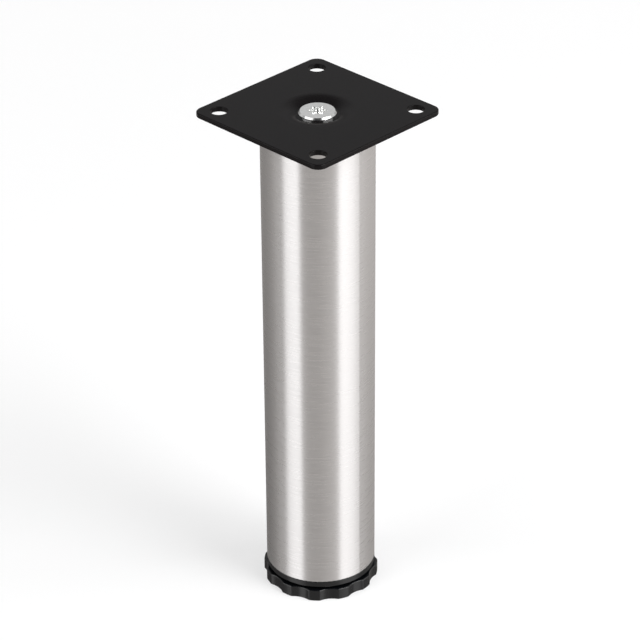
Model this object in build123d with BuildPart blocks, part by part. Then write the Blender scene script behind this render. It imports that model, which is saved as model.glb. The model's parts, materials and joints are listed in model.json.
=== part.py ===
from build123d import *
import math
import os

# Height-adjustable furniture leg: a brushed tube between a screwed-on mounting plate and a
# scalloped foot that is turned by hand. Millimetres, +Z up. The origin is on the floor, on
# the leg's axis, with the foot screwed right in. The plate's sides lie along X and Y.

# Leg and tube
overall_height = 200.0
tube_diameter = 42.0
tube_wall = 1.0
tube_edge_round = 0.25

# Mounting plate, pressed from sheet with a dish that takes the bolt's head
plate_side = 64.0
plate_thickness = 2.0
plate_corner_radius = 4.0
plate_edge_round = 0.5
hole_diameter = 6.3
hole_inset = 7.0
hole_edge_round = 0.35
dish_clearance = 0.8
dish_slope_width = 3.4
dish_inner_bend = 1.2
dish_flat_margin = 0.4

# Bolt that holds the plate, with a six-lobe drive
bolt_diameter = 8.0
bolt_head_diameter = 14.0
bolt_head_height = 1.3
bolt_head_chamfer = 0.6
bolt_head_sink = 0.2
bolt_protrusion = 2.5
bolt_tip_chamfer = 0.8
drive_tip_diameter = 6.75
drive_waist_diameter = 4.85
drive_hollow_radius = 1.43
drive_tip_round = 0.35
drive_depth = 3.0
drive_point_depth = 0.9
drive_angle = 45.0

# Captive nuts
top_nut_flats = 13.0
top_nut_height = 6.5
bottom_nut_flats = 17.0
bottom_nut_height = 8.0
nut_bore_chamfer = 0.5
nut_chamfer_angle = 30.0

# Moulded plugs that are pressed into the tube's ends
plug_wall = 2.2
plug_web = 3.0
plug_boss_wall = 2.4
plug_rib_width = 1.4
plug_rib_count = 6
plug_hollow_reach = 3.5618
plug_skirt_length = 17.0
crush_rib_height = 0.35
crush_rib_width = 1.2
crush_rib_count = 12
crush_rib_lead = 2.0
flange_height = 2.5
flange_edge_round = 0.4
flange_top_round = 0.2

# Adjusting foot: a steel stud moulded into a scalloped wheel
stud_diameter = 10.0
stud_head_diameter = 16.0
stud_head_height = 3.0
stud_tip_chamfer = 1.0
stud_over_nut = 2.0
screw_travel = 15.0
wheel_height = 4.7
wheel_overhang = 1.15
wheel_top_web = 1.6
wheel_skirt = 1.9
wheel_edge_round = 0.4
wheel_base_round = 0.25
lobe_count = 12
lobe_land = 4.35
lobe_depth = 1.1
lobe_corner_round = 1.0
pocket_corner_round = 0.8
lobe_angle = 8.0
hub_wall = 3.0
hub_rise = 4.1
hub_floor = 2.4
hub_edge_round = 0.6
wheel_rib_width = 1.3
floor_relief = 0.6

# Clearances
plug_clearance = 0.05
nut_clearance = 0.05
bolt_clearance = 0.2
stud_clearance = 0.05
seat_clearance = 0.3
foot_gap = 0.8
hub_gap = 0.6

# Levels and radii that follow from the sizes above
tube_radius = tube_diameter / 2
tube_bore_radius = tube_radius - tube_wall
plate_underside = overall_height - plate_thickness
flange_underside = wheel_height + foot_gap
tube_bottom = flange_underside + flange_height
hole_spacing = plate_side - 2 * hole_inset

dish_depth = bolt_head_height + bolt_head_sink
dish_floor = overall_height - dish_depth
dish_floor_underside = dish_floor - plate_thickness
dish_floor_radius = bolt_head_diameter / 2 + dish_clearance
dish_mouth_radius = dish_floor_radius + dish_slope_width
dish_rim_radius = dish_mouth_radius + dish_flat_margin
bolt_hole_radius = bolt_diameter / 2 + bolt_clearance

top_nut_top = dish_floor_underside - plug_web
top_nut_bottom = top_nut_top - top_nut_height
top_plug_bottom = plate_underside - plug_skirt_length
bolt_tip = top_nut_bottom - bolt_protrusion

plug_skirt_radius = tube_bore_radius - plug_clearance - crush_rib_height
plug_hollow_radius = dish_mouth_radius + plug_hollow_reach
hub_radius = stud_head_diameter / 2 + stud_clearance + hub_wall
hub_top = wheel_height + hub_rise
hub_recess_radius = hub_radius + hub_gap
bottom_nut_bottom = hub_top + hub_gap
bottom_nut_top = bottom_nut_bottom + bottom_nut_height
bottom_boss_top = bottom_nut_top + plug_web
bottom_plug_top = tube_bottom + plug_skirt_length
bottom_boss_radius = hub_recess_radius + plug_boss_wall
stud_hole_radius = stud_diameter / 2 + stud_clearance

stud_head_bottom = floor_relief + hub_floor
stud_head_top = stud_head_bottom + stud_head_height
stud_tip = bottom_nut_top + screw_travel + stud_over_nut
lobe_radius = tube_radius + wheel_overhang
valley_radius = lobe_radius - lobe_depth

# A scoop's radius, from its depth and from the width of the lobes beside it.
scoop_half_angle = math.pi / lobe_count - math.asin(lobe_land / 2 / lobe_radius)
scoop_chord = 2 * lobe_radius * math.sin(scoop_half_angle)
scoop_rise = lobe_depth - lobe_radius * (1 - math.cos(scoop_half_angle))
scoop_radius = ((scoop_chord / 2) ** 2 + scoop_rise**2) / (2 * scoop_rise)
scoop_angle = lobe_angle + 180 / lobe_count


def hexagon_corner(flats):
    # Distance from a hexagon's middle to its corners.
    return flats / 2 / math.cos(math.radians(30))


def hex_nut(flats, height, bore_radius, bottom):
    # A hexagon whose corners are turned off at both ends, with a countersunk bore.
    corner = hexagon_corner(flats)
    turned = (corner - flats / 2) * math.tan(math.radians(nut_chamfer_angle))
    with BuildPart() as nut:
        with BuildSketch(Plane.XY.offset(bottom)):
            RegularPolygon(flats / 2, 6, major_radius=False)
            Circle(bore_radius, mode=Mode.SUBTRACT)
        extrude(amount=height)
        with BuildSketch(Plane.XZ):
            with BuildLine():
                Polyline(
                    (0, bottom),
                    (flats / 2, bottom),
                    (corner, bottom + turned),
                    (corner, bottom + height - turned),
                    (flats / 2, bottom + height),
                    (0, bottom + height),
                    close=True,
                )
            make_face()
        revolve(axis=Axis.Z, mode=Mode.INTERSECT)
        bore_edges = nut.edges().filter_by(GeomType.CIRCLE).group_by(SortBy.RADIUS)[0]
        chamfer(bore_edges, nut_bore_chamfer)
    return nut.part


def hexagon_outline(flats, level):
    # The mouth of the seat that a captive nut is pushed into.
    with BuildSketch(Plane.XY.offset(level)) as outline:
        RegularPolygon(flats / 2, 6, major_radius=False)
    return outline.sketch


def rib_outlines(inner, outer, level, width, count, start=0.0):
    # Radial webs between a boss and a skirt. Each end runs a little way into the wall.
    bite = width / 4
    with BuildSketch(Plane.XY.offset(level)) as outlines:
        with PolarLocations((inner + outer) / 2, count, start_angle=start):
            Rectangle(outer - inner + 2 * bite, width)
    return outlines.sketch


def lobed_outline(inset, corner_round):
    # The wheel's outline, or one parallel to it and inset by a wall: a circle with a round
    # scoop between each two lobes. The corners beside the scoops are rounded.
    with BuildSketch() as outline:
        Circle(lobe_radius - inset)
        with PolarLocations(valley_radius + scoop_radius, lobe_count, start_angle=scoop_angle):
            Circle(scoop_radius + inset, mode=Mode.SUBTRACT)
        fillet(outline.vertices(), corner_round)
    return outline.sketch


def crush_ribs(foot, lead):
    # Thin upright ribs round a plug's skirt that bite on the tube's bore. The end that goes
    # into the tube first slopes back to the skirt.
    root = plug_skirt_radius - crush_rib_height
    tip = plug_skirt_radius + crush_rib_height
    shoulder = lead + math.copysign(crush_rib_lead, foot - lead)
    with BuildPart() as single_rib:
        with BuildSketch(Plane.XZ):
            with BuildLine():
                Polyline(
                    (root, foot),
                    (tip, foot),
                    (tip, shoulder),
                    (plug_skirt_radius, lead),
                    (root, lead),
                    close=True,
                )
            make_face()
        extrude(amount=crush_rib_width / 2, both=True)
    with BuildPart() as ring_of_ribs:
        with PolarLocations(0, crush_rib_count):
            add(single_rib.part)
    return ring_of_ribs.part


os.makedirs("parts", exist_ok=True)

# Mounting plate: a rounded square blank, opened in the middle and filled with the pressed dish.
with BuildPart() as mounting_plate:
    with BuildSketch(Plane.XY.offset(plate_underside)):
        RectangleRounded(plate_side, plate_side, plate_corner_radius)
    extrude(amount=plate_thickness)
    rims = mounting_plate.edges().group_by(Axis.Z)
    fillet(rims[0] + rims[-1], plate_edge_round)
    with BuildSketch(Plane.XY.offset(plate_underside)):
        Circle(dish_rim_radius)
    extrude(amount=plate_thickness, mode=Mode.SUBTRACT)
    with BuildSketch(Plane.XZ) as dish_section:
        with BuildLine():
            Polyline(
                (bolt_hole_radius, dish_floor),
                (dish_floor_radius, dish_floor),
                (dish_mouth_radius, overall_height),
                (dish_rim_radius, overall_height),
                (dish_rim_radius, plate_underside),
                (dish_mouth_radius, plate_underside),
                (dish_floor_radius, dish_floor_underside),
                (bolt_hole_radius, dish_floor_underside),
                close=True,
            )
        make_face()
        floor_bends = dish_section.vertices().filter_by_position(
            Axis.X, dish_floor_radius - 0.1, dish_floor_radius + 0.1
        )
        fillet(floor_bends, dish_inner_bend)
    revolve(axis=Axis.Z)
    with Locations((0, 0, overall_height)):
        with GridLocations(hole_spacing, hole_spacing, 2, 2):
            Hole(hole_diameter / 2)
    hole_edges = mounting_plate.edges().filter_by(
        lambda e: e.geom_type == GeomType.CIRCLE and abs(e.radius - hole_diameter / 2) < 0.001
    )
    fillet(hole_edges, hole_edge_round)
mounting_plate.part.label = "mounting_plate"

# Bolt: a wide low head that sits on the dish's floor, with a shank through the top nut.
with BuildPart() as plate_bolt:
    with BuildSketch(Plane.XZ):
        with BuildLine():
            Polyline(
                (0, dish_floor + bolt_head_height),
                (bolt_head_diameter / 2 - bolt_head_chamfer, dish_floor + bolt_head_height),
                (bolt_head_diameter / 2, dish_floor + bolt_head_height - bolt_head_chamfer),
                (bolt_head_diameter / 2, dish_floor),
                (bolt_diameter / 2, dish_floor),
                (bolt_diameter / 2, bolt_tip + bolt_tip_chamfer),
                (bolt_diameter / 2 - bolt_tip_chamfer, bolt_tip),
                (0, bolt_tip),
                close=True,
            )
        make_face()
    revolve(axis=Axis.Z)
    bolt_crown = dish_floor + bolt_head_height
    with BuildSketch(Plane.XY.offset(bolt_crown)) as drive:
        Circle(drive_tip_diameter / 2)
        with PolarLocations(
            drive_waist_diameter / 2 + drive_hollow_radius, 6, start_angle=drive_angle + 30
        ):
            Circle(drive_hollow_radius, mode=Mode.SUBTRACT)
        fillet(drive.vertices(), drive_tip_round)
    extrude(amount=-drive_depth, mode=Mode.SUBTRACT)
    with BuildSketch(Plane.XZ):
        with BuildLine():
            Polyline(
                (0, bolt_crown - drive_depth),
                (drive_waist_diameter / 2, bolt_crown - drive_depth),
                (0, bolt_crown - drive_depth - drive_point_depth),
                close=True,
            )
        make_face()
    revolve(axis=Axis.Z, mode=Mode.SUBTRACT)
plate_bolt.part.label = "plate_bolt"

# Tube: both ends are cut square and deburred.
with BuildPart() as tube:
    with BuildSketch(Plane.XY.offset(tube_bottom)):
        Circle(tube_radius)
        Circle(tube_bore_radius, mode=Mode.SUBTRACT)
    extrude(amount=plate_underside - tube_bottom)
    outer_rims = tube.edges().filter_by(
        lambda e: e.geom_type == GeomType.CIRCLE and abs(e.radius - tube_radius) < 0.001
    )
    fillet(outer_rims, tube_edge_round)
tube.part.label = "tube"

# Top plug: its crown is hollowed to the dish's underside, and its boss holds the top nut.
top_boss_radius = hexagon_corner(top_nut_flats) + nut_clearance + plug_boss_wall
top_plug_webs = rib_outlines(
    top_boss_radius,
    plug_skirt_radius - plug_wall,
    top_nut_bottom,
    plug_rib_width,
    plug_rib_count,
)
top_nut_mouth = hexagon_outline(top_nut_flats + 2 * nut_clearance, top_nut_bottom)
top_crush_ribs = crush_ribs(plate_underside, top_plug_bottom)
with BuildPart() as top_plug:
    with BuildSketch(Plane.XZ):
        with BuildLine():
            Polyline(
                (bolt_hole_radius, dish_floor_underside),
                (dish_floor_radius + seat_clearance, dish_floor_underside),
                (plug_hollow_radius, plate_underside),
                (plug_skirt_radius, plate_underside),
                (plug_skirt_radius, top_plug_bottom),
                (plug_skirt_radius - plug_wall, top_plug_bottom),
                (plug_skirt_radius - plug_wall, top_nut_top),
                (top_boss_radius, top_nut_top),
                (top_boss_radius, top_nut_bottom),
                (bolt_hole_radius, top_nut_bottom),
                close=True,
            )
        make_face()
    revolve(axis=Axis.Z)
    extrude(top_plug_webs, amount=top_nut_height)
    extrude(top_nut_mouth, amount=top_nut_height, mode=Mode.SUBTRACT)
    add(top_crush_ribs)
top_plug.part.label = "top_plug"

top_nut = hex_nut(
    top_nut_flats, top_nut_height, bolt_diameter / 2 + stud_clearance, top_nut_bottom
)
top_nut.label = "top_nut"

# Bottom plug: a flange as wide as the tube, a ribbed skirt inside it, and a boss that is
# recessed for the wheel's hub and holds the bottom nut.
bottom_plug_webs = rib_outlines(
    bottom_boss_radius,
    plug_skirt_radius - plug_wall,
    tube_bottom,
    plug_rib_width,
    plug_rib_count,
)
bottom_nut_mouth = hexagon_outline(bottom_nut_flats + 2 * nut_clearance, bottom_nut_bottom)
bottom_crush_ribs = crush_ribs(tube_bottom, bottom_plug_top)
with BuildPart() as bottom_plug:
    with BuildSketch(Plane.XZ) as bottom_section:
        with BuildLine():
            Polyline(
                (hub_recess_radius, flange_underside),
                (tube_radius, flange_underside),
                (tube_radius, tube_bottom),
                (plug_skirt_radius, tube_bottom),
                (plug_skirt_radius, bottom_plug_top),
                (plug_skirt_radius - plug_wall, bottom_plug_top),
                (plug_skirt_radius - plug_wall, tube_bottom),
                (bottom_boss_radius, tube_bottom),
                (bottom_boss_radius, bottom_boss_top),
                (stud_hole_radius + seat_clearance, bottom_boss_top),
                (stud_hole_radius + seat_clearance, bottom_nut_bottom),
                (hub_recess_radius, bottom_nut_bottom),
                close=True,
            )
        make_face()
        lower_corner = bottom_section.vertices().group_by(Axis.X)[-1].sort_by(Axis.Y)[0]
        fillet(lower_corner, flange_edge_round)
        upper_corner = bottom_section.vertices().group_by(Axis.X)[-1].sort_by(Axis.Y)[-1]
        fillet(upper_corner, flange_top_round)
    revolve(axis=Axis.Z)
    extrude(bottom_plug_webs, amount=bottom_boss_top - tube_bottom)
    extrude(bottom_nut_mouth, amount=bottom_nut_height, mode=Mode.SUBTRACT)
    add(bottom_crush_ribs)
bottom_plug.part.label = "bottom_plug"

bottom_nut = hex_nut(bottom_nut_flats, bottom_nut_height, stud_hole_radius, bottom_nut_bottom)
bottom_nut.label = "bottom_nut"

# Stud: a round head that is moulded into the wheel's hub, and a shank that reaches far
# enough past the nut to keep its grip when the foot is screwed right out.
with BuildPart() as foot_stud:
    with BuildSketch(Plane.XZ):
        with BuildLine():
            Polyline(
                (0, stud_head_bottom),
                (stud_head_diameter / 2, stud_head_bottom),
                (stud_head_diameter / 2, stud_head_top),
                (stud_diameter / 2, stud_head_top),
                (stud_diameter / 2, stud_tip - stud_tip_chamfer),
                (stud_diameter / 2 - stud_tip_chamfer, stud_tip),
                (0, stud_tip),
                close=True,
            )
        make_face()
    revolve(axis=Axis.Z)
foot_stud.part.label = "foot_stud"

# Wheel: twelve broad lobes parted by scoops, all the way down. Its underside is hollow
# between a skirt that follows the lobes, radial ribs and the hub that grips the stud.
pocket_top = wheel_height - wheel_top_web
pocket_outline = lobed_outline(wheel_skirt, pocket_corner_round)
wheel_webs = rib_outlines(
    hub_radius,
    valley_radius - wheel_skirt,
    floor_relief,
    wheel_rib_width,
    lobe_count,
    start=scoop_angle,
)
with BuildPart() as foot_wheel:
    extrude(lobed_outline(0.0, lobe_corner_round), amount=wheel_height)
    fillet(foot_wheel.edges().group_by(Axis.Z)[-1], wheel_edge_round)
    fillet(foot_wheel.edges().group_by(Axis.Z)[0], wheel_base_round)
    extrude(pocket_outline, amount=pocket_top, mode=Mode.SUBTRACT)
    with BuildSketch(Plane.XY.offset(floor_relief)):
        Circle(hub_radius)
    extrude(amount=hub_top - floor_relief)
    hub_rim = foot_wheel.edges().group_by(Axis.Z)[-1]
    fillet(hub_rim, hub_edge_round)
    extrude(wheel_webs, amount=pocket_top - floor_relief)
    with BuildSketch(Plane.XZ):
        with BuildLine():
            Polyline(
                (0, stud_head_bottom),
                (stud_head_diameter / 2 + stud_clearance, stud_head_bottom),
                (stud_head_diameter / 2 + stud_clearance, stud_head_top),
                (stud_hole_radius, stud_head_top),
                (stud_hole_radius, hub_top),
                (0, hub_top),
                close=True,
            )
        make_face()
    revolve(axis=Axis.Z, mode=Mode.SUBTRACT)
foot_wheel.part.label = "foot_wheel"

finished_parts = [
    mounting_plate.part,
    plate_bolt.part,
    tube.part,
    top_plug.part,
    top_nut,
    bottom_plug.part,
    bottom_nut,
    foot_stud.part,
    foot_wheel.part,
]
for piece in finished_parts:
    export_step(piece, f"parts/{piece.label}.step")
    print(piece.label, round(piece.volume), "cubic millimetres")
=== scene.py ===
import json
import math
import bpy
import numpy as np
from mathutils import Matrix, Vector


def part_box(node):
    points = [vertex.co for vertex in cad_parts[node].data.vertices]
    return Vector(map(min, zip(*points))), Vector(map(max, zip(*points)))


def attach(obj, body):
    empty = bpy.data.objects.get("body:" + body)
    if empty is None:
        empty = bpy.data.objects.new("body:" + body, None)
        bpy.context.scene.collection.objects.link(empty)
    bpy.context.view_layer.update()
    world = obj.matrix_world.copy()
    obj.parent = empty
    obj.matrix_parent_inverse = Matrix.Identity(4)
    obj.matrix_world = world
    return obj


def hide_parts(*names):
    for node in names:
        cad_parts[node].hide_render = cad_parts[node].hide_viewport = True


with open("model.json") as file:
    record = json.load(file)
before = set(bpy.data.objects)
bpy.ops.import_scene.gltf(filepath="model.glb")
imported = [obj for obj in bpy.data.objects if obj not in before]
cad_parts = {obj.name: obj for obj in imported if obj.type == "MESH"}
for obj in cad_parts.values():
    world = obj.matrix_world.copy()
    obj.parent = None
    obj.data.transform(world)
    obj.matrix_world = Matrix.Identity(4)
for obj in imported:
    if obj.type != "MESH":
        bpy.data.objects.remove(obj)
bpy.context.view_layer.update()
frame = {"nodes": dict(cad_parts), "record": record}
print("frame loaded:", len(frame["nodes"]), "nodes")

millimetre = 0.001

# camera

shot = {
    "turn": 44.863,  # degrees round the leg, from looking along +Y
    "rise": 30.22,  # degrees above the floor
    "roll": -0.437,  # degrees
    "distance": 1.12285,  # metres from the point aimed at
    "aimHeight": 0.11036,  # of that point, on the leg's axis
    "frameSide": 640,  # pixels
    "focalPixels": 2999.5,
    "opticalCentre": (319.09, 325.4),  # pixels from the frame's top left
    "sensor": 36.0,  # millimetres
    "clip": (0.05, 50.0),  # metres
}


def outward(bearing, rise=0.0):
    # The direction out from the leg at a bearing, which runs from -Y towards +X, and a rise,
    # both in degrees: (sin(bearing) cos(rise), -cos(bearing) cos(rise), sin(rise)).
    turn, lift = math.radians(bearing), math.radians(rise)
    return Vector((math.sin(turn) * math.cos(lift), -math.cos(turn) * math.cos(lift), math.sin(lift)))


def placeCamera(setup):
    roll = math.radians(setup["roll"])
    back = outward(setup["turn"], setup["rise"])
    right = outward(setup["turn"] + 90)
    up = back.cross(right)
    rolledRight = right * math.cos(roll) + up * math.sin(roll)
    rolledUp = up * math.cos(roll) - right * math.sin(roll)
    data = bpy.data.cameras.new("photoCamera")
    camera = bpy.data.objects.new("photoCamera", data)
    bpy.context.scene.collection.objects.link(camera)
    pose = Matrix((rolledRight, rolledUp, back)).transposed().to_4x4()
    pose.translation = Vector((0, 0, setup["aimHeight"])) + back * setup["distance"]
    camera.matrix_world = pose
    data.sensor_width = setup["sensor"]
    data.lens = setup["focalPixels"] / setup["frameSide"] * setup["sensor"]
    middle = setup["frameSide"] / 2
    data.shift_x = (middle - setup["opticalCentre"][0]) / setup["frameSide"]
    data.shift_y = (setup["opticalCentre"][1] - middle) / setup["frameSide"]
    data.clip_start, data.clip_end = setup["clip"]
    bpy.context.scene.camera = camera


placeCamera(shot)
bpy.context.scene.view_settings.view_transform = "Standard"
print("camera placed")


# shader maths


class Wire:
    # One output socket of a node tree. Sums and products of wires add Math nodes beside it,
    # and node() adds any other node. A wire without a socket is a start for a new tree.

    def __init__(self, tree, socket=None):
        self.tree = tree
        self.socket = socket

    def node(self, kind, settings=None, inputs=None, output=0):
        made = self.tree.nodes.new(kind)
        for name, value in (settings or {}).items():
            if name == "stops":
                self.fillRamp(made.color_ramp, value)
            else:
                setattr(made, name, value)
        for name, value in (inputs or {}).items():
            if isinstance(value, Wire):
                self.tree.links.new(value.socket, made.inputs[name])
            else:
                made.inputs[name].default_value = value
        return Wire(self.tree, made.outputs[output] if len(made.outputs) else None)

    def fillRamp(self, ramp, stops):
        while len(ramp.elements) < len(stops):
            ramp.elements.new(0.5)
        for element, (place, tone) in zip(ramp.elements, stops):
            element.position = place
            element.color = (*tone, 1) if isinstance(tone, tuple) else (tone, tone, tone, 1)

    def maths(self, operation, *terms):
        return self.node("ShaderNodeMath", {"operation": operation}, dict(enumerate(terms)))

    def __add__(self, other):
        return self.maths("ADD", self, other)

    def __radd__(self, other):
        return self.maths("ADD", other, self)

    def __sub__(self, other):
        return self.maths("SUBTRACT", self, other)

    def __rsub__(self, other):
        return self.maths("SUBTRACT", other, self)

    def __mul__(self, other):
        return self.maths("MULTIPLY", self, other)

    def __rmul__(self, other):
        return self.maths("MULTIPLY", other, self)

    def __truediv__(self, other):
        return self.maths("DIVIDE", self, other)

    def __rtruediv__(self, other):
        return self.maths("DIVIDE", other, self)

    def ramped(self, start, end, low=0.0, high=1.0):
        # a smooth step from low at start to high at end
        return self.node(
            "ShaderNodeMapRange",
            {"interpolation_type": "SMOOTHSTEP"},
            {"Value": self, "From Min": start, "From Max": end, "To Min": low, "To Max": high},
        )

    def mixed(self, first, second):
        # two colours mixed by this wire
        return self.node("ShaderNodeMix", {"data_type": "RGBA"}, {0: self, 6: first, 7: second}, 2)


def newMaterial(name):
    # an empty material and the start wire of its tree
    material = bpy.data.materials.new(name)
    material.use_nodes = True
    material.node_tree.nodes.clear()
    return material, Wire(material.node_tree)


def objectPlace(start):
    return start.node("ShaderNodeTexCoord", output="Object")


def stretched(place, scale):
    # object coordinates, each times its own factor
    return place.node("ShaderNodeVectorMath", {"operation": "MULTIPLY"}, {0: place, 1: scale})


def noise(place, scale, detail=2.0, roughness=0.5):
    # a cloud pattern whose cells are 1 / scale metres, given for all three directions or each
    if not isinstance(scale, tuple):
        scale = (scale, scale, scale)
    inputs = {"Vector": stretched(place, scale), "Scale": 1.0, "Detail": detail, "Roughness": roughness}
    return place.node("ShaderNodeTexNoise", {}, inputs)


def bumped(height, depth, under=None):
    # a normal from a height of depth metres, on top of the normal under it
    inputs = {"Height": height, "Distance": depth, "Strength": 1.0}
    if under:
        inputs["Normal"] = under
    return height.node("ShaderNodeBump", {}, inputs)


def finishMaterial(start, inputs):
    # the shader of an opaque surface, and the tree's end
    surface = start.node("ShaderNodeBsdfPrincipled", {}, inputs)
    start.node("ShaderNodeOutputMaterial", {}, {"Surface": surface})


def opaque(colour):
    return (*colour, 1.0)


def axisDistance(place):
    # how far a point lies from the leg's axis
    flat = stretched(place, (1.0, 1.0, 0.0))
    return place.node("ShaderNodeVectorMath", {"operation": "LENGTH"}, {0: flat}, "Value")


# finishes

brushedSteelLook = {
    "light": (0.622, 0.616, 0.62),
    "dark": (0.6, 0.594, 0.598),
    "streakStep": (0.34, 0.62),  # grain levels from a dark streak to a light one
    "roughness": 0.3,
    "roughnessSwing": 0.06,
    "anisotropy": 0.94,
    "spread": 0.25,  # a quarter turn: reflections spread up and down, across the lines
    "lineLength": 0.008,
    "hairline": 0.00022,  # metres from one line to the next
    "scratch": 0.0007,
    "scratchShare": 0.55,  # of the grain; hairlines make up the rest
    "scratchStretch": 0.7,  # a line's length over a scratch's
    "wander": 0.0006,  # how far a line strays up and down
    "grainDepth": 0.00003,
}


def brushedSteel(look):
    # Hairlines run round the tube and stray a little: noise that is drawn out in X and Y and
    # fine in Z, on a place that is pushed up and down by a slow noise.
    material, start = newMaterial("brushedSteel")
    place = objectPlace(start)
    around = 1 / look["lineLength"]
    stray = (noise(place, around / 2, 1.0) - 0.5) * look["wander"]
    lift = start.node("ShaderNodeCombineXYZ", {}, {"Z": stray})
    strayed = start.node("ShaderNodeVectorMath", {"operation": "ADD"}, {0: place, 1: lift})
    hairlines = noise(strayed, (around, around, 1 / look["hairline"]), 3.0, 0.6)
    longer = around * look["scratchStretch"]
    scratches = noise(strayed, (longer, longer, 1 / look["scratch"]), 3.0, 0.65)
    share = look["scratchShare"]
    grain = hairlines * (1 - share) + scratches * share
    streak = grain.ramped(*look["streakStep"])
    tone = streak.mixed(opaque(look["dark"]), opaque(look["light"]))
    roughness = look["roughness"] + (0.5 - streak) * look["roughnessSwing"]
    finishMaterial(start, {
        "Base Color": tone,
        "Metallic": 1.0,
        "Roughness": roughness,
        "Anisotropic": look["anisotropy"],
        "Anisotropic Rotation": look["spread"],
        "Normal": bumped(grain, look["grainDepth"]),
    })
    return material


powderCoatLook = {
    "colour": (0.0066, 0.0058, 0.0061),
    "speck": (0.011, 0.0102, 0.0106),
    "speckStep": (0.45, 0.8),  # grain levels from the colour to the speck
    "roughness": 0.15,
    "peelSwing": 0.06,  # of the roughness, as the next
    "patchSwing": 0.08,
    "peel": 0.0011,  # metres across a cell of the coat's soft orange peel
    "patch": 0.011,
    "grain": 0.0003,
    "peelDepth": 0.000006,
    "grainDepth": 0.0000015,
    "reflection": 0.07,
    # The pressed dish: where its cone meets the flat plate and how steep it is, and the
    # radius of the soft bend between them, which the solid has as a crease.
    "dishMouth": 0.0112,
    "dishSlope": 23.8,  # degrees
    "dishBend": 0.015,
}


def softBend(place, look):
    # How far the bend's arc lies below the crease: the cone's drop less the arc's drop, where
    # the arc touches the flat and the cone at the same distance from the crease.
    slope = math.radians(look["dishSlope"])
    reach = look["dishBend"] * math.tan(slope / 2)
    outer = look["dishMouth"] + reach
    inner = look["dishMouth"] - reach * math.cos(slope)
    radius = place.maths("MAXIMUM", axisDistance(place), inner)
    cone = radius.maths("MAXIMUM", look["dishMouth"] - radius, 0.0) * math.tan(slope)
    across = radius.maths("MAXIMUM", outer - radius, 0.0)
    arc = look["dishBend"] - radius.maths("SQRT", look["dishBend"] ** 2 - across * across)
    return cone - arc


def powderCoat(look):
    # Sprayed and baked powder: a soft peel with a finer grain on it.
    material, start = newMaterial("powderCoat")
    place = objectPlace(start)
    peel = noise(place, 1 / look["peel"])
    grain = noise(place, 1 / look["grain"], 3.0, 0.65)
    patches = noise(place, 1 / look["patch"], 3.0)
    tone = grain.ramped(*look["speckStep"]).mixed(opaque(look["colour"]), opaque(look["speck"]))
    roughness = look["roughness"] + (peel - 0.5) * look["peelSwing"]
    roughness = roughness + (patches - 0.5) * look["patchSwing"]
    bend = bumped(softBend(place, look), 1.0)  # its height is in metres already
    softPeel = bumped(peel, look["peelDepth"], bend)
    finishMaterial(start, {
        "Base Color": tone,
        "Roughness": roughness,
        "Specular IOR Level": look["reflection"],
        "Normal": bumped(grain, look["grainDepth"], softPeel),
    })
    return material


zincLook = {
    "pale": (0.94, 0.945, 0.945),
    "warm": (0.89, 0.89, 0.875),
    "warmStep": (0.35, 0.7),  # clouding levels from pale to warm
    "roughness": 0.15,
    "cloudSwing": 0.14,  # of the roughness, as the next
    "grainSwing": 0.06,
    "turning": 0.00012,  # metres from one lathe line to the next, out from the axis
    "turningDepth": 0.0000025,
    "clouding": 0.0014,
    "grain": 0.0003,
}


def brightZinc(look):
    # Turned steel with a thin plated coat: rings from the lathe, and faint clouding.
    material, start = newMaterial("brightZinc")
    place = objectPlace(start)
    rings = (axisDistance(place) / look["turning"]).maths("FRACT")
    rings = start.maths("ABSOLUTE", rings - 0.5) * 2
    clouding = noise(place, 1 / look["clouding"], 3.0, 0.6)
    grain = noise(place, 1 / look["grain"])
    roughness = look["roughness"] + (clouding - 0.5) * look["cloudSwing"]
    roughness = roughness + (grain - 0.5) * look["grainSwing"]
    finishMaterial(start, {
        "Base Color": clouding.ramped(*look["warmStep"]).mixed(opaque(look["pale"]), opaque(look["warm"])),
        "Metallic": 1.0,
        "Roughness": roughness,
        "Normal": bumped(rings + grain, look["turningDepth"]),
    })
    return material


plasticLook = {
    "colour": (0.0022, 0.0026, 0.0036),
    "scuffed": (0.006, 0.006, 0.0068),
    "scuffStep": (0.5, 0.75),  # levels of grain and flow from the colour to the scuffed one
    "roughness": 0.26,
    "flowSwing": 0.16,  # of the roughness, as the next
    "grainSwing": 0.1,
    "grain": 0.0004,  # metres across a cell of the mould's spark grain
    "flow": 0.004,
    "flowStretch": 0.3,  # a flow mark's width over its height
    "grainDepth": 0.000006,
    "reflection": 0.42,
}


def mouldedPlastic(look):
    # Injection-moulded black plastic: the mould's fine spark grain and faint flow marks.
    material, start = newMaterial("mouldedPlastic")
    place = objectPlace(start)
    grain = noise(place, 1 / look["grain"], 3.0, 0.6)
    flow = noise(place, (1 / look["flow"], 1 / look["flow"], look["flowStretch"] / look["flow"]), 3.0)
    scuffing = (grain * 0.5 + flow * 0.5).ramped(*look["scuffStep"])
    tone = scuffing.mixed(opaque(look["colour"]), opaque(look["scuffed"]))
    roughness = look["roughness"] + (flow - 0.5) * look["flowSwing"]
    roughness = roughness + (grain - 0.5) * look["grainSwing"]
    finishMaterial(start, {
        "Base Color": tone,
        "Roughness": roughness,
        "Specular IOR Level": look["reflection"],
        "Normal": bumped(grain, look["grainDepth"]),
    })
    return material


finishes = {
    "black_powder_coat": powderCoat(powderCoatLook),
    "brushed_stainless": brushedSteel(brushedSteelLook),
    "bright_zinc": brightZinc(zincLook),
    "black_plastic": mouldedPlastic(plasticLook),
}
for part in frame["record"]["subparts"]:
    node = frame["nodes"][part["node"]]
    node.data.materials.clear()
    node.data.materials.append(finishes[part["material_slot"]])


# studio

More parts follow.
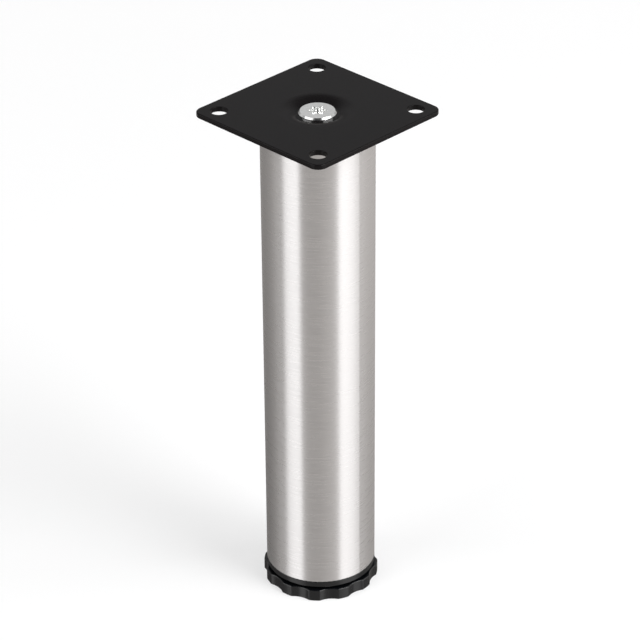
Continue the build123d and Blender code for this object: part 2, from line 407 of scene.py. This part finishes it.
studio = {
    "warm": (1.0, 0.955, 0.915),  # tint of the table's light
    "white": (1.0, 1.0, 1.0),  # and of the room's
    # Tones of the room round the leg, by degrees to the right of the camera: the table near
    # the leg, where its shadows lie, the lit table farther off, and the room above it.
    "nearTones": [
        (-180, 0.02), (-135, 0.05), (-92, 0.22), (-40, 0.43), (0, 0.48),
        (20, 0.57), (34, 0.57), (90, 0.18), (108, 0.11), (145, 0.08), (180, 0.02),
    ],
    "tableTones": [
        (-180, 0.33), (-130, 0.40), (-92, 0.64), (-40, 0.66), (0, 0.7),
        (20, 0.78), (34, 0.82), (90, 1.04), (108, 1.03), (145, 0.76), (180, 0.33),
    ],
    "roomTones": [
        (-180, 0.24), (-125, 0.28), (-92, 0.26), (-40, 0.14), (0, 0.10),
        (40, 0.14), (92, 0.28), (125, 0.28), (180, 0.24),
    ],
    "tableGain": 1.14,  # over all of the table's tones
    "nearTable": (-40.0, -20.0),  # degrees up, from the near tones to the table's
    "horizon": (0.0, 14.0),  # and from the table's to the room's
    "ceiling": (34.0, 88.0, 0.03),  # the room darkens to a share of its tone between these
    # A pale wall behind the leg: middle and half height in degrees, softness, the degrees from
    # the camera between which it begins, and level.
    "wall": {"rise": 30.0, "half": 3.0, "edge": 16.0, "begins": (89.0, 131.0), "level": 0.33},
    # Upright soft boxes and their images in the table: middle and half width in degrees, and
    # brightness, of the box above the horizon and of its image below. Each box holds a strip
    # of hot tubes: middle and half height in degrees, softness, level.
    "softBoxes": [
        {"over": (69.0, 33.0), "high": 1.4, "below": (62.3, 21.3), "low": 0.8},
        {"over": (-66.0, 29.0), "high": 1.3, "below": (-55.2, 17.3), "low": 0.95},
    ],
    "boxEdge": 2.0,  # softness of the upright edges, in degrees
    "boxTop": (64.0, 58.0),  # degrees up, from past the boxes to their full tone
    "strip": {"centre": 30.0, "half": 6.0, "edge": 2.0, "level": 4.0},
}


def buildStudio(look):
    # The room's light as a function of the direction alone. The camera sees plain white.
    world = bpy.data.worlds.new("studio")
    world.use_nodes = True
    world.node_tree.nodes.clear()
    start = Wire(world.node_tree)
    direction = start.node("ShaderNodeTexCoord", output="Generated")
    dot = {"operation": "DOT_PRODUCT"}
    axes = (outward(shot["turn"] + 90), outward(shot["turn"]), (0, 0, 1))
    sideways, forwards, upwards = (
        start.node("ShaderNodeVectorMath", dot, {0: direction, 1: axis}, "Value") for axis in axes
    )
    bearing = start.maths("ARCTAN2", sideways, forwards) * math.degrees(1)
    height = start.maths("ARCSINE", upwards) * math.degrees(1)

    def byBearing(name):
        stops = [((angle + 180) / 360, tone) for angle, tone in look[name]]
        return start.node("ShaderNodeValToRGB", {"stops": stops}, {"Fac": bearing / 360 + 0.5})

    lower, upper, dimmed = look["ceiling"]
    near = byBearing("nearTones")
    table = near + (byBearing("tableTones") * look["tableGain"] - near) * height.ramped(*look["nearTable"])
    room = byBearing("roomTones") * height.ramped(lower, upper, 1.0, dimmed)
    above = height.ramped(*look["horizon"])
    wall = look["wall"]
    band = start.maths("ABSOLUTE", height - wall["rise"]).ramped(wall["half"] + wall["edge"], wall["half"])
    behind = start.maths("ABSOLUTE", bearing).ramped(*wall["begins"])
    neutral = room * above + band * behind * wall["level"]
    strip = look["strip"]
    tubes = start.maths("ABSOLUTE", height - strip["centre"])
    tubes = tubes.ramped(strip["half"] + strip["edge"], strip["half"], 0.0, strip["level"])
    lid = height.ramped(*look["boxTop"])

    def upright(centre, half):
        # 1 across a box's width and 0 beside it
        away = start.maths("ABSOLUTE", start.maths("WRAP", bearing - centre, 180.0, -180.0))
        return away.ramped(half + look["boxEdge"], half - look["boxEdge"])

    for box in look["softBoxes"]:
        front = upright(*box["over"]) * above * lid * (tubes + box["high"])
        neutral = neutral + front + upright(*box["below"]) * (1.0 - above) * box["low"]
    scale = {"operation": "SCALE"}
    tinted = start.node("ShaderNodeVectorMath", scale, {0: look["warm"], "Scale": table * (1.0 - above)})
    plain = start.node("ShaderNodeVectorMath", scale, {0: look["white"], "Scale": neutral})
    total = start.node("ShaderNodeVectorMath", {"operation": "ADD"}, {0: tinted, 1: plain})
    lit = start.node("ShaderNodeBackground", {}, {"Color": total})
    backdrop = start.node("ShaderNodeBackground", {}, {"Color": opaque(look["white"])})
    seen = start.node("ShaderNodeLightPath", output="Is Camera Ray")
    mixed = start.node("ShaderNodeMixShader", {}, {0: seen, 1: lit, 2: backdrop})
    start.node("ShaderNodeOutputWorld", {}, {"Surface": mixed})
    bpy.context.scene.world = world


buildStudio(studio)

# The bearing is in degrees to the right of the camera, the rise in degrees above the floor;
# the lamp is a disc, side metres across.
keyLamp = {"bearing": 57.0, "rise": 47.0, "distance": 1.1, "side": 0.45, "power": 4.8}


def hangLamp(look):
    # the soft key light, right of the camera
    away = outward(shot["turn"] + look["bearing"], look["rise"])
    data = bpy.data.lights.new("keyLamp", "AREA")
    data.shape = "DISK"
    data.size = look["side"]
    data.energy = look["power"]
    lamp = bpy.data.objects.new("keyLamp", data)
    bpy.context.scene.collection.objects.link(lamp)
    lamp.rotation_mode = "QUATERNION"
    lamp.rotation_quaternion = away.to_track_quat("Z", "Y")
    lamp.location = away * look["distance"] + Vector((0, 0, shot["aimHeight"]))


hangLamp(keyLamp)

# The drop keeps the floor clear of the foot's base. The lift is the share of plain white.
floorLook = {"side": 12.0, "drop": 0.00005, "colour": (0.985, 0.985, 0.99), "lift": 0.56}


def layFloor(look):
    # A pale table top that rides down with the foot. From below it is clear, and only the
    # camera sees it: the room's tones stand for it in reflections.
    half = look["side"] / 2
    mesh = bpy.data.meshes.new("floor")
    corners = [(-half, -half), (half, -half), (half, half), (-half, half)]
    mesh.from_pydata([(x, y, -look["drop"]) for x, y in corners], [], [(0, 1, 2, 3)])
    floor = bpy.data.objects.new("floor", mesh)
    bpy.context.scene.collection.objects.link(floor)
    material, start = newMaterial("tableTop")
    paper = start.node("ShaderNodeBsdfDiffuse", {}, {"Color": opaque(look["colour"])})
    glow = start.node("ShaderNodeEmission", {}, {"Color": opaque(studio["white"])})
    top = start.node("ShaderNodeMixShader", {}, {0: look["lift"], 1: paper, 2: glow})
    clear = start.node("ShaderNodeBsdfTransparent")
    below = start.node("ShaderNodeNewGeometry", output="Backfacing")
    surface = start.node("ShaderNodeMixShader", {}, {0: below, 1: top, 2: clear})
    start.node("ShaderNodeOutputMaterial", {}, {"Surface": surface})
    mesh.materials.append(material)
    floor.visible_diffuse = False
    floor.visible_glossy = False
    floor.visible_shadow = False
    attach(floor, "wheel")


layFloor(floorLook)
print("studio built")


# threaded stud

studLook = {
    "headHeight": 3.0 * millimetre,
    "headRound": 0.4 * millimetre,
    "neckRound": 0.05 * millimetre,  # in the corner where the shank leaves the head
    "shankRadius": 5.0 * millimetre,
    "pitch": 1.5 * millimetre,
    "depth": 0.9 * millimetre,  # of the thread
    "crest": 0.125,  # share of a pitch that is flat at the crest
    "root": 0.25,  # share of a pitch that is flat at the root
    "plain": 2.0 * millimetre,  # above the head, before the thread starts
    "runIn": 1.5 * millimetre,
    "tipChamfer": 1.0 * millimetre,
    "columns": 96,
    "rowsAPitch": 18,
    "rootDark": (0.23, 0.22, 0.20),
    "rootDarkDip": 0.8,  # how much the dip and the clouding count for the darkening in the roots
    "rootDarkCloud": 0.6,
    "rootDarkStep": (0.35, 0.95),
    "rootDarkRoughness": 0.2,  # added to the plating's
    "grainSwing": 0.1,
}


def threadDip(turns, look):
    # The thread's profile: 0 on the crest, 1 at the root, straight flanks between, as a
    # function of how many pitches the point lies above the helix.
    share = np.abs(np.mod(turns, 1.0) - 0.5) * 2
    return np.clip((share - look["crest"]) / (1 - look["crest"] - look["root"]), 0, 1)


def quarterRound(radius, level, size, startAngle, steps=5):
    # a rounded edge: (radius + size cos(turn), level + size sin(turn)) over a quarter turn
    turn = np.radians(startAngle) + np.linspace(0, math.pi / 2, steps)
    return np.stack([radius + size * np.cos(turn), level + size * np.sin(turn)], axis=-1)


def spunMesh(name, radii, heights):
    # A surface of rows by columns round the Z axis, closed at both ends by a pole:
    # point(row, column) = (radius cos(angle), radius sin(angle), height).
    rows, columns = radii.shape
    angle = np.arange(columns) / columns * 2 * math.pi
    grid = np.stack([radii * np.cos(angle), radii * np.sin(angle), heights], axis=-1)
    poles = [(0, 0, heights[0, 0]), (0, 0, heights[-1, 0])]
    points = np.vstack([grid.reshape(-1, 3), poles])
    row, column = np.meshgrid(np.arange(rows - 1), np.arange(columns), indexing="ij")
    after = (column + 1) % columns
    quads = np.stack([row * columns + column, row * columns + after,
                      (row + 1) * columns + after, (row + 1) * columns + column], axis=-1).reshape(-1, 4)
    ring = np.arange(columns)
    nextRing = (ring + 1) % columns
    last = (rows - 1) * columns
    bottom = np.stack([nextRing, ring, np.full(columns, rows * columns)], axis=-1)
    top = np.stack([last + ring, last + nextRing, np.full(columns, rows * columns + 1)], axis=-1)
    corners = np.concatenate([quads.ravel(), bottom.ravel(), top.ravel()])
    sizes = np.concatenate([np.full(len(quads), 4), np.full(2 * columns, 3)])
    starts = np.concatenate([[0], np.cumsum(sizes)[:-1]])
    mesh = bpy.data.meshes.new(name)
    mesh.vertices.add(len(points))
    mesh.vertices.foreach_set("co", points.astype(np.float32).ravel())
    mesh.loops.add(len(corners))
    mesh.loops.foreach_set("vertex_index", corners.astype(np.int32))
    mesh.polygons.add(len(sizes))
    mesh.polygons.foreach_set("loop_start", starts.astype(np.int32))
    mesh.polygons.foreach_set("use_smooth", np.ones(len(sizes), bool))
    mesh.update(calc_edges=True)
    mesh.validate()
    return mesh


def threadedSteel(look, plating):
    # The stud's plating, darker and rougher in the thread's roots, where the dip is 1.
    material, start = newMaterial("threadedSteel")
    place = objectPlace(start)
    dip = start.node("ShaderNodeAttribute", {"attribute_name": "dip"}, output="Fac")
    clouding = noise(place, 1 / plating["clouding"], 3.0, 0.6)
    grain = noise(place, 1 / plating["grain"])
    clean = clouding.ramped(*plating["warmStep"]).mixed(opaque(plating["pale"]), opaque(plating["warm"]))
    # darker towards the thread's roots, by the dip, and patchily by the clouding
    rootDarkening = (dip * look["rootDarkDip"] + (clouding - 0.5) * look["rootDarkCloud"]).ramped(*look["rootDarkStep"])
    roughness = plating["roughness"] + rootDarkening * look["rootDarkRoughness"]
    finishMaterial(start, {
        "Base Color": rootDarkening.mixed(clean, opaque(look["rootDark"])),
        "Metallic": 1.0,
        "Roughness": roughness + (grain - 0.5) * look["grainSwing"],
        "Normal": bumped(grain, plating["turningDepth"]),
    })
    return material


def threadedStud(look, low, high):
    # A round head, then a shank whose radius drops by the thread's depth times its dip. The
    # helix climbs one pitch a turn, anticlockwise from above, so the thread is right-handed.
    head = high[0]
    headTop = low[2] + look["headHeight"]
    edge = look["headRound"]
    neck = look["neckRound"]
    shank = look["shankRadius"]
    outline = np.vstack([
        quarterRound(head - edge, low[2] + edge, edge, -90),
        quarterRound(head - edge, headTop - edge, edge, 0),
        [(shank + edge, headTop), (shank + neck, headTop), (shank, headTop + neck)],
    ])
    length = high[2] - headTop - edge
    rows = round(length / look["pitch"] * look["rowsAPitch"])
    level = headTop + edge + np.linspace(0, 1, rows) * length
    radii = np.concatenate([outline[:, 0], np.full(rows, shank)])[:, None]
    heights = np.concatenate([outline[:, 1], level])[:, None]
    share = np.arange(look["columns"]) / look["columns"]
    dip = threadDip(heights / look["pitch"] - share, look)
    dip = dip * np.clip((heights - headTop - look["plain"]) / look["runIn"], 0, 1)
    radii = radii - dip * look["depth"]
    chamfer = shank - look["tipChamfer"] + high[2] - heights
    radii = np.where(heights > headTop, np.minimum(radii, chamfer), radii)
    heights = np.broadcast_to(heights, radii.shape)
    stud = bpy.data.objects.new("threadedStud", spunMesh("threadedStud", radii, heights))
    stored = stud.data.attributes.new("dip", "FLOAT", "POINT")
    stored.data.foreach_set("value", np.append(dip.ravel(), [0, 0]).astype(np.float32))
    stud.data.materials.append(threadedSteel(look, zincLook))
    bpy.context.scene.collection.objects.link(stud)
    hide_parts("foot_stud")
    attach(stud, "stud")
    return stud


stud = threadedStud(studLook, *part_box("foot_stud"))
print("stud threaded:", len(stud.data.polygons), "faces")
